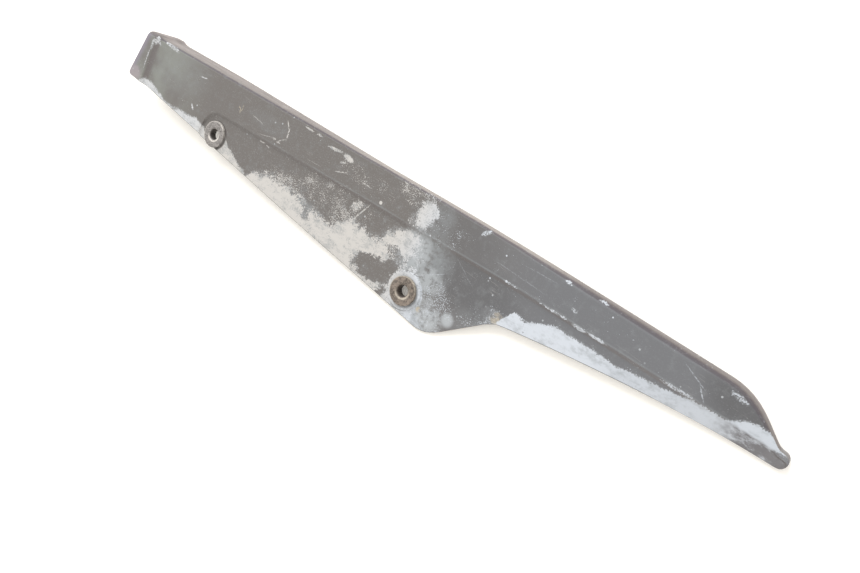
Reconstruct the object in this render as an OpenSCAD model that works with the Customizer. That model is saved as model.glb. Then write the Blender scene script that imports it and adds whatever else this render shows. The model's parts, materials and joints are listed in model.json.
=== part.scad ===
// Motorcycle chain guard, in millimetres.
// One moulded and painted shell, with a flanged steel collar in each of its two bolt holes.
//
// Everything is drawn in the face frame: X runs from the front lip to the tail, Y runs up
// the face to the top flange, and Z points out of the face, away from the chain. Its zero
// is the rear collar's centre, on the face of the upper panel. as_laid() then turns each
// piece to the way the guard comes to rest on a table, on its flange, its tip and its lobe.

/* [Outline] */
// Rear collar to the foot of the front lip
front_reach = 264; // [235:1:290]
// Rear collar to the tip of the tail
tail_reach = 221.5; // [190:0.5:250]
// Lower edge at the foot of the lip, above the rear collar
edge_front = 17; // [12:0.5:20]
// Lower edge below the rear collar's centre
edge_drop = 13.4; // [12.8:0.1:17]
// Outward step of the lower edge under the front collar
edge_step = 1.3; // [0:0.1:2]
// Corner of the lobe behind the rear collar, before it is rounded
lobe_x = 23.8; // [21:0.1:30]
// Blend that rounds the lobe
lobe_blend = 9; // [4:0.5:12]
// Inner corner where the lobe meets the tail, along the guard
neck_x = 58.7; // [52:0.1:70]
// Inner corner where the lobe meets the tail, above the rear collar
neck_y = 14.3; // [11:0.1:17]
// Blend that rounds the inner corner
neck_blend = 4; // [2:0.5:7]
// Lower edge at the tip of the tail
edge_tail = 32.6; // [31:0.1:34]
// How soon the tail's lower edge levels out
edge_sweep = 1.7; // [1.3:0.1:2.2]

/* [Top line] */
// Flange at the foot of the lip, above the rear collar
top_front = 52.1; // [48:0.1:56]
// Where the top line is highest, behind the rear collar
top_mid_x = 38; // [0:1:70]
// Flange where the top line is highest
top_mid = 60.2; // [58:0.1:64]
// From the tip back to the top corner of the tail
tail_corner_back = 29; // [27:0.5:37]
// Top corner of the tail, above the rear collar
tail_top = 58.2; // [55:0.1:60]
// From the tip back to the foot of the tail's slope
tail_foot_back = 6.5; // [6:0.5:9]
// Foot of the tail's slope, above the rear collar
tail_foot = 41.8; // [41:0.1:43.5]
// Length over which the tip is rounded
tip_round = 4; // [3:0.1:6]

/* [Wall and flange] */
// Wall thickness
wall = 2.2; // [1.6:0.1:2.8]
// Depth of the flange at the front
flange_front = 24; // [16:0.5:30]
// Depth of the flange past its taper
flange_mid = 8.5; // [7:0.5:14]
// Depth of the flange at the tail's top corner
flange_tail = 11; // [8:0.5:15]
// Depth of the flange round the tip
flange_tip = 8; // [7:0.5:11]
// Where the flange starts to get shallower, ahead of the rear collar
taper_start = 205; // [150:1:230]
// Where it stops getting shallower, ahead of the rear collar
taper_end = 40; // [10:1:90]
// Outer radius between face and flange, ahead of the rear collar
corner_front = 2; // [1:0.1:4]
// Outer radius between face and flange, at the tail
corner_tail = 3.5; // [2:0.1:5]
// Chamfer that breaks the free edges
edge_break = 0.5; // [0.2:0.1:0.7]

/* [Sunk lower panel] */
// Depth of the lower panel below the upper one
recess = 1.5; // [0.8:0.1:2.5]
// Width of the sloped step between the two panels
step_w = 3.2; // [1.5:0.1:4]
// Radius of the sunk panel's round end, about the front collar
recess_r = 13.5; // [12:0.5:16]
// Where the step line bends, behind the rear collar
crease_x = 60; // [30:1:90]
// Step line at its bend, above the rear collar
crease_mid = 38.3; // [36:0.1:41]
// Step line at the tip of the tail
crease_tail = 40; // [38:0.1:42]
// How far the tail's lower edge turns in, towards the chain
strip_turn = 3; // [0:0.1:4]

/* [Front lip] */
// Width of the lip past its foot, on the flange
lip_w = 7.5; // [5:0.5:12]
// Extra width of the lip at the lower edge
lip_slant = 7; // [0:0.5:10]
// Height of the lip above the face
lip_rise = 2.6; // [1:0.1:4]
// Height of the lip above the flange
lip_rise_flange = 1.6; // [0.5:0.1:3]
// Length over which the face rises to the lip
lip_foot = 7; // [5:0.5:12]
// Radius of the lip's lower corner
lip_corner = 3; // [1:0.5:4]

/* [Collars] */
// Distance between the collars, along the guard
collar_x = 182.5; // [160:0.5:200]
// Front collar above the rear one
collar_y = 14.9; // [13:0.1:18]
// Diameter of the collar's flange
collar_flange_d = 18; // [15:0.5:19]
// Thickness of the collar's flange
collar_flange_t = 1.6; // [1:0.1:2.5]
// Outer diameter of the collar's barrel
barrel_d = 10; // [9:0.1:11]
// Length of the barrel below its flange
barrel_len = 3.9; // [3.8:0.1:9]
// Bore for an M6 screw
bore_d = 6.8; // [6.4:0.1:7.2]
// Radius of the bore's rounded outer mouth
mouth_r = 1.6; // [0.4:0.1:1.6]
// Clearance round the barrel in its hole
barrel_gap = 0.15; // [0.05:0.05:0.3]

/* [Collar seats] */
// Radius of the round pad under the rear collar
pad_r = 12.2; // [10:0.1:12.4]
// Height of that pad above the lower panel
pad_h = 0.6; // [0.3:0.1:1.2]
// Slope at the pad's rim
pad_slope = 0.6; // [0.2:0.1:1]
// Wall of the moulded boss round each barrel
boss_wall = 2; // [1.4:0.1:2.4]
// How far the barrel stands out of its boss
boss_short = 0.4; // [0.2:0.1:1]

/* [Hidden] */
$fn = 64;

// Small helpers for lines and blends

function line(x, p, q) = p.y + (q.y - p.y) * (x - p.x) / (q.x - p.x);
function part_way(x, a, b) = min(max((x - a) / (b - a), 0), 1);
function ramp(x, a, b) = let (t = part_way(x, a, b)) t * t * (3 - 2 * t);
function blend_min(a, b, k) = min(a, b) - pow(max(k - abs(a - b), 0), 2) / (4 * k);
function blend_max(a, b, k) = max(a, b) + pow(max(k - abs(a - b), 0), 2) / (4 * k);
function spread(a, b, n) = [for (i = [0:n - 1]) a + (b - a) * i / n];

// Lower edge: a straight run, the lobe, the rise to the neck and the swept tail

recess_x = -collar_x - recess_r;   // the sunk panel's front end
recess_half = 0.8;                 // half the run of its step there
lobe_fade = 0.6;                   // share of the collar distance where edge_step fades

function run_y(x) = line(x, [-front_reach, edge_front], [0, -edge_drop])
    - edge_step * ramp(x, recess_x - recess_half, recess_x + recess_half)
                * (1 - ramp(x, -collar_x * lobe_fade, 0));
function rise_y(x) = line(x, [lobe_x, run_y(lobe_x)], [neck_x, neck_y]);
function sweep_y(x) = edge_tail - (edge_tail - neck_y)
    * pow(max(1 - (x - neck_x) / (tail_reach - neck_x), 0), edge_sweep);
function low_y(x) = x < (lobe_x + neck_x) / 2
    ? blend_max(run_y(x), rise_y(x), lobe_blend)
    : blend_min(rise_y(x), sweep_y(x), neck_blend);

// Top line: a shallow peak, the tail's top corner, its slope and the short level tip

peak_blend = 2.2;
corner_blend = 9;
foot_blend = 1.5;
tail_top_x = tail_reach - tail_corner_back;
tail_foot_x = tail_reach - tail_foot_back;
slope_mid = (tail_top_x + tail_foot_x) / 2;

function arch_y(x) = blend_min(line(x, [-front_reach, top_front], [top_mid_x, top_mid]),
    line(x, [top_mid_x, top_mid], [tail_top_x, tail_top]), peak_blend);
function slope_y(x) = line(x, [tail_top_x, tail_top], [tail_foot_x, tail_foot]);
function high_y(x) = x < slope_mid
    ? blend_min(arch_y(x), slope_y(x), corner_blend)
    : blend_max(slope_y(x), tail_foot, foot_blend);

// Both lines close in on each other at the rounded tip

tip_blunt = 0.85;

function tip_close(x) = let (t = part_way(x, tail_reach - tip_round, tail_reach))
    sqrt(1 - tip_blunt * t * t);
function middle_y(x) = (low_y(x) + high_y(x)) / 2;
function half_y(x) = (high_y(x) - low_y(x)) / 2 * tip_close(x);
function edge_y(x) = middle_y(x) - half_y(x);
function top_y(x) = middle_y(x) + half_y(x);

// Corner radius, flange depth and the wall's width across the tail's slope

deepen_x = 40;     // from here the flange gets deeper again
round_x = [20, 110];
tight = 0.18;      // largest corner radius, as a share of the guard's width there

function corner_r(x) = min(
    corner_front + (corner_tail - corner_front) * ramp(x, round_x[0], round_x[1]),
    tight * (top_y(x) - edge_y(x)));
function depth(x) = flange_front
    + (flange_mid - flange_front) * part_way(x, -taper_start, -taper_end)
    + (flange_tail - flange_mid) * ramp(x, deepen_x, tail_top_x)
    + (flange_tip - flange_tail) * ramp(x, tail_top_x, tail_foot_x);
function wall_y(x) = let (s = (high_y(x + 0.5) - high_y(x - 0.5))) wall * sqrt(1 + s * s);

// The step line and how far the panel below it is sunk

crease_room = 0.6;   // least flat between step and corner
turn_x = 100;        // from here the tail's lower edge turns in

function crease_line(x) = blend_min(
    line(x, [-collar_x, collar_y + recess_r], [crease_x, crease_mid]),
    line(x, [crease_x, crease_mid], [tail_reach, crease_tail]), 1);
function round_end(x) = collar_y + sqrt(max(pow(recess_r, 2) - pow(x + collar_x, 2), 0));
function crease_y(x) = min(x < -collar_x ? round_end(x) : crease_line(x),
    top_y(x) - corner_r(x) - crease_room - step_run(x) / 2);
function step_run(x) = min(step_w, tight * (top_y(x) - edge_y(x)));
function sunk(x) = recess * ramp(x, recess_x - recess_half, recess_x + recess_half);
function turned_in(x) = strip_turn * ramp(x, turn_x, tail_foot_x);

// The cross-section at x, as pairs of outer and inner points that run from the lower edge
// over the step and the corner to the flange's free edge: [y, z, way y, way z]. The last
// two say which way the front lip moves that point.

step_parts = [[-0.5, 1], [-0.17, 0.8], [0.17, 0.2], [0.5, 0]];
plain_parts = [1.5, 3.5, 7, 12];
arc_parts = [0:22.5:90];

function step_points(x) = [for (i = [0:3])
    x > recess_x - recess_half
        ? [crease_y(x) + step_parts[i][0] * step_run(x), -sunk(x) * step_parts[i][1], 0, 1]
        : [edge_y(x) + plain_parts[i], 0, 0, 1]];
function arc_points(y, z, r) = [for (a = arc_parts)
    [y - r + r * sin(a), z - r + r * cos(a), sin(a), cos(a)]];
function outer_side(x) = let (e = edge_y(x), z = -sunk(x) - turned_in(x), t = top_y(x)) concat(
    [[e, z - edge_break, 0, 1], [e + edge_break, z, 0, 1]],
    step_points(x),
    arc_points(t, 0, corner_r(x)),
    [[t, edge_break - depth(x), 1, 0], [t - edge_break, -depth(x), 1, 0]]);
function inner_side(x) = let (e = edge_y(x), z = -sunk(x) - turned_in(x) - wall,
                              t = top_y(x) - wall_y(x)) concat(
    [[e, z + edge_break, 0, 1], [e + edge_break, z, 0, 1]],
    [for (p = step_points(x)) [p.x, p.y - wall, 0, 1]],
    arc_points(t, -wall, max(corner_r(x) - wall, 0.3)),
    [[t, edge_break - depth(x), 1, 0], [t + edge_break, -depth(x), 1, 0]]);
function solid_side(x) = let (e = edge_y(x), t = top_y(x), d = depth(x)) concat(
    [[e, edge_break - d, 0, 1]],
    [for (i = [0:11]) [e + edge_break + (t - e - 3 * edge_break) * i / 11, -d, 0, 1]]);

// The front lip: a hollow foot lifts each point off the face or the flange up to a crisp edge,
// and past that edge the lip runs level to its slanted free end

function lip_up(x) = pow(part_way(-x, front_reach - lip_foot, front_reach), 2);
function lip_out(x) = part_way(-x, front_reach, front_reach + lip_w);
function lip_back(x, y) = let (rest = max(lip_corner - (y - edge_y(x)), 0))
    lip_out(x) * (lip_corner - sqrt(pow(lip_corner, 2) - pow(rest, 2)));
function lip_x(x, y) = x + lip_back(x, y)
    - lip_slant * lip_out(x) * part_way(top_y(x) - y, 0, top_y(x) - edge_y(x));
function placed(x, p, thin) = [lip_x(x, p.x),
    p.x + (lip_rise_flange * lip_up(x) - thin) * p[2],
    p.y + (lip_rise * lip_up(x) - thin) * p[3]];

// Stations along the guard, close together only where the form turns

tip_wall_x = tail_reach - wall;
lip_end = -front_reach - lip_w;
rest_x = recess_x - 3;             // here the flange touches the table
corner_run = corner_blend * 1.4;   // the top corner's blend reaches this far to each side
stations = concat(
    [lip_end, lip_end + edge_break, lip_end + lip_w / 2],
    [for (i = [0:6]) -front_reach + lip_foot * i / 6],
    spread(-front_reach + lip_foot + 6, recess_x - 6, 2),
    [rest_x],
    [for (i = [-1:0.5:1]) recess_x + i * recess_half],
    [for (a = [24:11:79]) -collar_x - recess_r * cos(a)],
    spread(-collar_x, lobe_x - lobe_blend - 2, 10),
    [for (i = [-1:0.33:1]) lobe_x + i * lobe_blend],
    [for (i = [-1:0.5:1]) neck_x + i * neck_blend],
    spread(neck_x + neck_blend + 6, tail_top_x - corner_run - 8, 8),
    [for (i = [-3:3]) tail_top_x + i * corner_run / 3],
    [(tail_top_x + corner_run + tail_foot_x - foot_blend) / 2],
    [for (i = [-1:1:1]) tail_foot_x + i * foot_blend],
    [tip_wall_x - 0.4],
    [for (i = [0:0.25:1]) tip_wall_x + wall * i]);
last = len(stations) - 1;

function thinned(i) = i == 0 ? edge_break : 0;
function inner_at(x) = x > tip_wall_x - 0.1 ? solid_side(x) : inner_side(x);
shell_points = [for (i = [0:last]) let (x = stations[i], cut = thinned(i)) each concat(
    [for (p = outer_side(x)) placed(x, p, cut)],
    [for (p = inner_at(x)) placed(x, p, -cut)])];

pairs = len(outer_side(0));
ring = 2 * pairs;
round_trip = concat([for (k = [0:pairs - 1]) k], [for (k = [pairs - 1:-1:0]) pairs + k]);
shell_faces = concat(
    [for (i = [0:last - 1], k = [0:ring - 1])
        let (a = round_trip[k] + ring * i, b = round_trip[(k + 1) % ring] + ring * i)
        each [[a, b, b + ring], [a, b + ring, a + ring]]],
    [for (k = [0:pairs - 2]) each [[k, pairs + k, pairs + k + 1], [k, pairs + k + 1, k + 1]]],
    [for (k = [0:pairs - 2]) let (a = k + ring * last, b = a + pairs)
        each [[a, a + 1, b + 1], [a, b + 1, b]]]);

// Seats of the two collars

front_seat = [-collar_x, collar_y, -recess];
rear_seat = [0, 0, pad_h - recess];
hole_r = barrel_d / 2 + barrel_gap;
boss_r = hole_r + boss_wall;
collar_end = rear_seat.z - barrel_len;

// The way it lies: on the flange near the front, on the tip and on the lobe's lowest edge

lie_front = [rest_x, top_y(rest_x) - wall_y(rest_x) + edge_break, -depth(rest_x)];
lie_tail = [tip_wall_x, edge_y(tip_wall_x) + edge_break, -flange_tip];
lobe_xs = [for (x = [lobe_x - lobe_blend:0.5:lobe_x]) x];
function below(x) = edge_y(x) - line(x, lie_front, lie_tail);
lobe_low = min([for (x = lobe_xs) below(x)]);
lobe_low_x = [for (x = lobe_xs) if (below(x) == lobe_low) x][0];
lie_lobe = [lobe_low_x, edge_y(lobe_low_x) + edge_break, -recess - wall];
up = cross(lie_lobe - lie_front, lie_tail - lie_front);
lay_x = atan2(up.y, up.z);
lay_y = -atan2(up.x, sqrt(pow(up.y, 2) + pow(up.z, 2)));

function laid(p) = let (y = p.y * cos(lay_x) - p.z * sin(lay_x),
                        z = p.y * sin(lay_x) + p.z * cos(lay_x))
    [p.x * cos(lay_y) + z * sin(lay_y), y, z * cos(lay_y) - p.x * sin(lay_y)];

collar_rim = [for (a = [0:3:357]) [cos(a) * barrel_d / 2, sin(a) * barrel_d / 2, collar_end]];
shell_laid = [for (p = shell_points) laid(p)];
xs = [for (p = shell_laid) p.x];
ys = [for (p = shell_laid) p.y];
zs = concat([for (p = shell_laid) p.z], [for (p = collar_rim) laid(p).z]);
lay_shift = [-(min(xs) + max(xs)) / 2, -(min(ys) + max(ys)) / 2, -min(zs)];

module as_laid() {
    translate(lay_shift)
        rotate([lay_x, lay_y, 0])
            children();
}

// The moulded shell, with a boss behind each hole and a low pad round the rear one

module boss(seat) {
    top = -recess - wall / 2;
    low = seat.z - barrel_len + boss_short;
    translate([seat.x, seat.y, low])
        cylinder(r = boss_r, h = top - low);
}

module rear_pad() {
    flat = -recess + pad_h;
    translate([0, 0, -recess - wall / 2])
        cylinder(r = pad_r, h = wall / 2);
    translate([0, 0, -recess])
        cylinder(r1 = pad_r, r2 = pad_r - pad_slope, h = flat + recess);
}

module hole(seat) {
    translate([seat.x, seat.y, seat.z - barrel_len - 1])
        cylinder(r = hole_r, h = barrel_len + 3);
}

module guard() {
    color("dimgray")
        difference() {
            union() {
                polyhedron(points = shell_points, faces = shell_faces, convexity = 6);
                boss(front_seat);
                boss(rear_seat);
                rear_pad();
            }
            hole(front_seat);
            hole(rear_seat);
        }
}

// A turned steel collar; its flange sits on the seat and its barrel goes through the boss

small_break = 0.3;

module collar(seat) {
    bore_r = bore_d / 2;
    barrel_r = barrel_d / 2;
    flange_r = collar_flange_d / 2;
    translate(seat)
        rotate_extrude()
            polygon([
                [bore_r, small_break - barrel_len],
                [bore_r + small_break, -barrel_len],
                [barrel_r - small_break, -barrel_len],
                [barrel_r, small_break - barrel_len],
                [barrel_r, 0],
                [flange_r, 0],
                [flange_r, collar_flange_t - small_break],
                [flange_r - small_break, collar_flange_t],
                each [for (a = [0:15:90])
                    [bore_r + mouth_r * (1 - sin(a)), collar_flange_t - mouth_r * (1 - cos(a))]]]);
}

module front_collar() {
    color("silver")
        collar(front_seat);
}

module rear_collar() {
    color("rosybrown")
        collar(rear_seat);
}

as_laid() guard();
as_laid() front_collar();
as_laid() rear_collar();
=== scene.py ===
# %% [markdown]
# # A worn motorcycle chain guard
# The guard lies on a white table, outer face up. It is one moulded shell with a turned-in top
# flange, and a flanged steel collar sits in each of its two screw holes. The dark paint has
# rubbed through to pale plastic along the lower edge, around the collars and on the tail, and
# most of this lesson is about that wear.
#
# The imported model comes first. It gives every place and size that the pieces below need, and
# its solids are kept in the scene, hidden.

import json
import math

import bmesh
import bpy
from mathutils import Matrix, Vector


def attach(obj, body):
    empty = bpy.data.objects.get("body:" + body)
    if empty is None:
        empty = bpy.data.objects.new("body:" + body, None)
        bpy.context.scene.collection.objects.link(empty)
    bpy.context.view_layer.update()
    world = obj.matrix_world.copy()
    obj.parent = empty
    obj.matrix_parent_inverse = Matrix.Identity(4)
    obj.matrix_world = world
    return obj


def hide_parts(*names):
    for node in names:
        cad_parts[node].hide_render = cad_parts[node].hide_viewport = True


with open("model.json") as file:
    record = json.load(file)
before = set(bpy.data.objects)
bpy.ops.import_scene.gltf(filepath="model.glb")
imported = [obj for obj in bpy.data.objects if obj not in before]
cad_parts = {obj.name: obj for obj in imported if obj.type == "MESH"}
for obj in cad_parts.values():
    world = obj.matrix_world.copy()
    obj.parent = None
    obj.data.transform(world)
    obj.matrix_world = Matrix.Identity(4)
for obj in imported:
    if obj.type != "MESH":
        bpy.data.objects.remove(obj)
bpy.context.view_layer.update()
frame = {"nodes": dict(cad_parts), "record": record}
MM = 0.001
BODY = "root"
print("pieces in the frame:", sorted(frame["nodes"]))

# %% [markdown]
# ## The face frame
# The guard leans by some degrees where it lies, but its wear follows the guard and not the
# table. So a second frame is set up on the guard's face: u runs towards the tail, v up to the
# flange and w out of the face, with zero at the rear collar. The two screw holes give it: w is
# their axis, and the guard was leaned about its length first and across second.

# %% Find the face frame from the screw holes
mounts = {mount["name"]: mount for mount in frame["record"]["mounts"]}
w_axis = Vector(mounts["rear_screw"]["axis"]).normalized()
LEAN_X = -math.asin(w_axis.y)
LEAN_Y = math.atan2(w_axis.x, w_axis.z)
face_turn = Matrix.Rotation(LEAN_Y, 4, "Y") @ Matrix.Rotation(LEAN_X, 4, "X")
v_axis = face_turn.to_3x3() @ Vector((0, 1, 0))

BORE_MIDDLE = 1.8            # mm from a collar's seat down to the middle of its bore
REAR_SEAT = -0.9             # mm, the rear collar's seat below the upper panel's face
FRONT_SEAT = -1.5            # mm, the front one's

rear_middle = Vector(mounts["rear_screw"]["pos_m"])
face_zero = rear_middle + w_axis * (BORE_MIDDLE - REAR_SEAT) * MM
face_matrix = Matrix.Translation(face_zero) @ face_turn
front_place = face_matrix.inverted() @ Vector(mounts["front_screw"]["pos_m"]) / MM
FRONT_U, FRONT_V = front_place.x, front_place.y
print("lean in degrees:", round(math.degrees(LEAN_X), 2), round(math.degrees(LEAN_Y), 2))
print("front collar on the face, mm:", [round(c, 1) for c in front_place])

# %% [markdown]
# ## Camera
# The picture was taken from above, about 40 cm over the tail half and looking back towards the
# rear collar, with the camera rolled so that the guard runs from the upper left corner to the
# lower right one. A camera matrix is the neatest way to say that: its columns are the camera's
# right, its up and its back, written in the face frame.

# %% Place the camera
CAMERA_PLACE = Vector((205.4, 146.6, 403.0)) * MM
CAMERA_RIGHT = Vector((0.75397, 0.42687, -0.49930)).normalized()
CAMERA_AHEAD = Vector((-0.40935, -0.28915, -0.86534)).normalized()
IMAGE_WIDTH = 860            # pixels
FOCAL_PIXELS = 800
SENSOR = 36.0                # mm

camera_back = -CAMERA_AHEAD
camera_up = camera_back.cross(CAMERA_RIGHT)
camera_turn = Matrix((CAMERA_RIGHT, camera_up, camera_back)).transposed().to_4x4()
camera = bpy.data.objects.new("camera", bpy.data.cameras.new("camera"))
camera.data.sensor_width = SENSOR
camera.data.lens = SENSOR * FOCAL_PIXELS / IMAGE_WIDTH
camera.matrix_world = face_matrix @ Matrix.Translation(CAMERA_PLACE) @ camera_turn
bpy.context.collection.objects.link(camera)
bpy.context.scene.camera = camera
print("the camera is", round(camera.matrix_world.translation.z, 3), "m above the table")

# %% [markdown]
# ## The shell
# The solid is already the right shape, but it comes as loose triangles, which shade as flat
# facets. The mesh is copied and its doubles are merged, so that light runs smoothly over the
# rounded corner and the step. Weighted normals then keep the large faces flat, and edges
# sharper than the limit stay crisp.

# %% Make the shell
SHARP = math.radians(32)     # edges that turn more than this stay crisp
MERGE = 0.002 * MM
FLATTEN = 60                 # above 50, large faces lead the normals at their corners


def merged_copy(solid, name):
    """A copy of a solid's mesh with its doubles merged, as an object of its own."""
    mesh = frame["nodes"][solid].data.copy()
    mesh.name = name
    work = bmesh.new()
    work.from_mesh(mesh)
    bmesh.ops.remove_doubles(work, verts=work.verts, dist=MERGE)
    bmesh.ops.dissolve_degenerate(work, edges=work.edges, dist=MERGE)
    for edge in work.edges:
        edge.smooth = len(edge.link_faces) == 2 and edge.calc_face_angle() < SHARP
    for face in work.faces:
        face.smooth = True
    work.to_mesh(mesh)
    work.free()
    mesh.materials.clear()
    piece = bpy.data.objects.new(name, mesh)
    bpy.context.collection.objects.link(piece)
    return piece


shell = merged_copy("guard", "guard_shell")
weights = shell.modifiers.new("flat faces", "WEIGHTED_NORMAL")
weights.keep_sharp = True
weights.weight = FLATTEN
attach(shell, BODY)
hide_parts("guard")
print("shell:", len(shell.data.polygons), "faces")

# %% [markdown]
# ## The section of a collar
# Each collar is turned from steel bar: a flange, a short barrel and a bore with a rounded
# mouth. Anything turned on a lathe is one section spun about an axis, so only the section is
# drawn here, as radius and height, with short arcs for the mouth and for every broken edge.

# %% Draw the collar's section
# Radii of flange, barrel and bore, the flange's thickness, the barrel's length under it, and the
# radius of the mouth's rounding, all in mm
COLLAR = {"flange": 9.0, "thick": 1.6, "barrel": 5.0, "long": 3.9, "bore": 3.4, "mouth": 1.6}
EDGE_BREAK = 0.3             # mm, radius of a broken edge


def corner(middle, radius, start, turn, steps):
    """Points of an arc in the section, from the angle start through the angle turn."""
    angles = [math.radians(start + turn * step / steps) for step in range(steps + 1)]
    return [(middle[0] + radius * math.cos(a), middle[1] + radius * math.sin(a)) for a in angles]


def collar_section():
    """The closed section, up the bore, over the mouth and the flange, and down the barrel."""
    bore, mouth, thick, e = COLLAR["bore"], COLLAR["mouth"], COLLAR["thick"], EDGE_BREAK
    low = -COLLAR["long"]
    points = corner((bore + e, low + e), e, 270, -90, 3)
    points += corner((bore + mouth, thick - mouth), mouth, 180, -90, 10)
    points += corner((COLLAR["flange"] - e, thick - e), e, 90, -90, 4)
    points += [(COLLAR["flange"], 0.0), (COLLAR["barrel"], 0.0)]
    points += corner((COLLAR["barrel"] - e, low + e), e, 0, -90, 3)
    return points


section = collar_section()
print("collar section:", len(section), "points,", 2 * COLLAR["flange"], "mm across")

# %% [markdown]
# ## Words for nodes
# A node tree that is written out in full is long and hard to read. Three short functions make
# it read like sums: one adds a node and sets or links its inputs, one does a step of
# arithmetic, and one multiplies, because that is what most of the steps do.

# %% Helpers for any node tree


def node(tree, kind, inputs=None, **settings):
    """Adds a node, gives it its settings, and sets or links its inputs."""
    made = tree.nodes.new(kind)
    for name, value in settings.items():
        setattr(made, name, value)
    for key, value in (inputs or {}).items():
        if isinstance(value, bpy.types.NodeSocket):
            tree.links.new(value, made.inputs[key])
        else:
            made.inputs[key].default_value = value
    return made


def maths(tree, operation, a, b=0.0):
    """One step of arithmetic on values or sockets."""
    return node(tree, "ShaderNodeMath", {0: a, 1: b}, operation=operation).outputs[0]


def times(tree, a, b):
    return maths(tree, "MULTIPLY", a, b)


print("the helpers for node trees are ready")

# %% [markdown]
# ## Spinning the section
# A small node tree does the lathe's work. It takes the section's points, lays a grid with one
# row for each point and one column for each step of the turn, and moves each grid point to its
# place on the circle. A little noise along the normals gives the knocks of an old collar. The
# same tree makes both collars, each with its own place and seed.

# %% Build the lathe tree
WELD = 1e-6                  # m, closes the turn where its first and last columns meet


def lathe_tree():
    """The tree that spins a section and gives the collar its knocks, place and finish."""
    tree = bpy.data.node_groups.new("lathe", "GeometryNodeTree")
    sockets = tree.interface
    sockets.new_socket("Section", in_out="INPUT", socket_type="NodeSocketGeometry")
    for name, kind in [("Steps", "Int"), ("Knocks", "Float"), ("Knock size", "Float"),
                       ("Seed", "Float"), ("Place", "Vector"), ("Lean", "Vector"),
                       ("Finish", "Material")]:
        sockets.new_socket(name, in_out="INPUT", socket_type="NodeSocket" + kind)
    sockets.new_socket("Collar", in_out="OUTPUT", socket_type="NodeSocketGeometry")
    given = tree.nodes.new("NodeGroupInput").outputs

    size = node(tree, "GeometryNodeAttributeDomainSize", {"Geometry": given["Section"]})
    points = size.outputs["Point Count"]
    rows = maths(tree, "ADD", points, 1.0)
    columns = maths(tree, "ADD", given["Steps"], 1.0)
    grid = node(tree, "GeometryNodeMeshGrid", {"Vertices X": columns, "Vertices Y": rows})
    index = tree.nodes.new("GeometryNodeInputIndex").outputs[0]
    column = maths(tree, "FLOOR", maths(tree, "DIVIDE", maths(tree, "ADD", index, 0.5), rows))
    row = maths(tree, "MODULO", maths(tree, "SUBTRACT", index, times(tree, column, rows)), points)
    drawn_at = tree.nodes.new("GeometryNodeInputPosition").outputs[0]
    at_row = node(tree, "GeometryNodeSampleIndex", {"Geometry": given["Section"], "Index": row},
                  data_type="FLOAT_VECTOR")
    tree.links.new(drawn_at, next(s for s in at_row.inputs if s.name == "Value" and s.enabled))
    point = next(s for s in at_row.outputs if s.enabled)
    angle = times(tree, maths(tree, "DIVIDE", column, given["Steps"]), 2 * math.pi)
    spun = node(tree, "ShaderNodeVectorRotate", {"Vector": point, "Angle": angle},
                rotation_type="Z_AXIS").outputs[0]
    turned = node(tree, "GeometryNodeSetPosition",
                  {"Geometry": grid.outputs["Mesh"], "Position": spun})
    closed = node(tree, "GeometryNodeMergeByDistance",
                  {"Geometry": turned.outputs[0], "Distance": WELD})

    knocks = node(tree, "ShaderNodeTexNoise",
                  {"W": given["Seed"], "Scale": given["Knock size"], "Detail": 3.0},
                  noise_dimensions="4D")
    depth = times(tree, maths(tree, "SUBTRACT", knocks.outputs[0], 0.5), given["Knocks"])
    normal = tree.nodes.new("GeometryNodeInputNormal").outputs[0]
    offset = node(tree, "ShaderNodeVectorMath", {0: normal, "Scale": depth}, operation="SCALE")
    knocked = node(tree, "GeometryNodeSetPosition",
                   {"Geometry": closed.outputs[0], "Offset": offset.outputs[0]})
    placed = node(tree, "GeometryNodeTransform",
                  {"Geometry": knocked.outputs[0], "Translation": given["Place"],
                   "Rotation": given["Lean"]})
    real = node(tree, "GeometryNodeRealizeInstances", {"Geometry": placed.outputs[0]})
    dressed = node(tree, "GeometryNodeSetMaterial",
                   {"Geometry": real.outputs[0], "Material": given["Finish"]})
    end = tree.nodes.new("NodeGroupOutput")
    tree.links.new(dressed.outputs[0], end.inputs["Collar"])
    return tree


lathe = lathe_tree()
print("the lathe has", len(lathe.nodes), "nodes")

# %% [markdown]
# ## Making both collars
# The section becomes a mesh of points, the modifier spins it, and the result is taken as a
# plain mesh. The modifier goes away then, so that nothing about the piece can change later.

# %% Spin the collars
STEPS = 96                   # columns in one turn
KNOCK_DEPTH = 0.16           # mm between the deepest knock and the highest place
KNOCK_SIZE = 420.0           # knocks in a metre


def spin_collar(name, seat, seed, finish):
    """One collar with its seat at a place on the face, in millimetres."""
    mesh = bpy.data.meshes.new(name + "_section")
    mesh.from_pydata([(r * MM, 0, z * MM) for r, z in section], [], [])
    piece = bpy.data.objects.new(name, mesh)
    bpy.context.collection.objects.link(piece)
    modifier = piece.modifiers.new("lathe", "NODES")
    modifier.node_group = lathe
    values = {"Steps": STEPS, "Knocks": KNOCK_DEPTH * MM, "Knock size": KNOCK_SIZE, "Seed": seed,
              "Place": face_matrix @ (Vector(seat) * MM), "Lean": Vector((LEAN_X, LEAN_Y, 0)),
              "Finish": finish}
    for socket in lathe.interface.items_tree:
        if socket.name in values:
            modifier[socket.identifier] = values[socket.name]
    bpy.context.view_layer.update()
    seen = piece.evaluated_get(bpy.context.evaluated_depsgraph_get())
    spun = bpy.data.meshes.new_from_object(seen)
    piece.modifiers.remove(modifier)
    piece.data = spun
    spun.name = name
    work = bmesh.new()
    work.from_mesh(spun)
    bmesh.ops.recalc_face_normals(work, faces=work.faces)
    for face in work.faces:
        face.smooth = True
    for edge in work.edges:
        edge.smooth = edge.calc_face_angle(0) < SHARP
    work.to_mesh(spun)
    work.free()
    return piece


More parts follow.
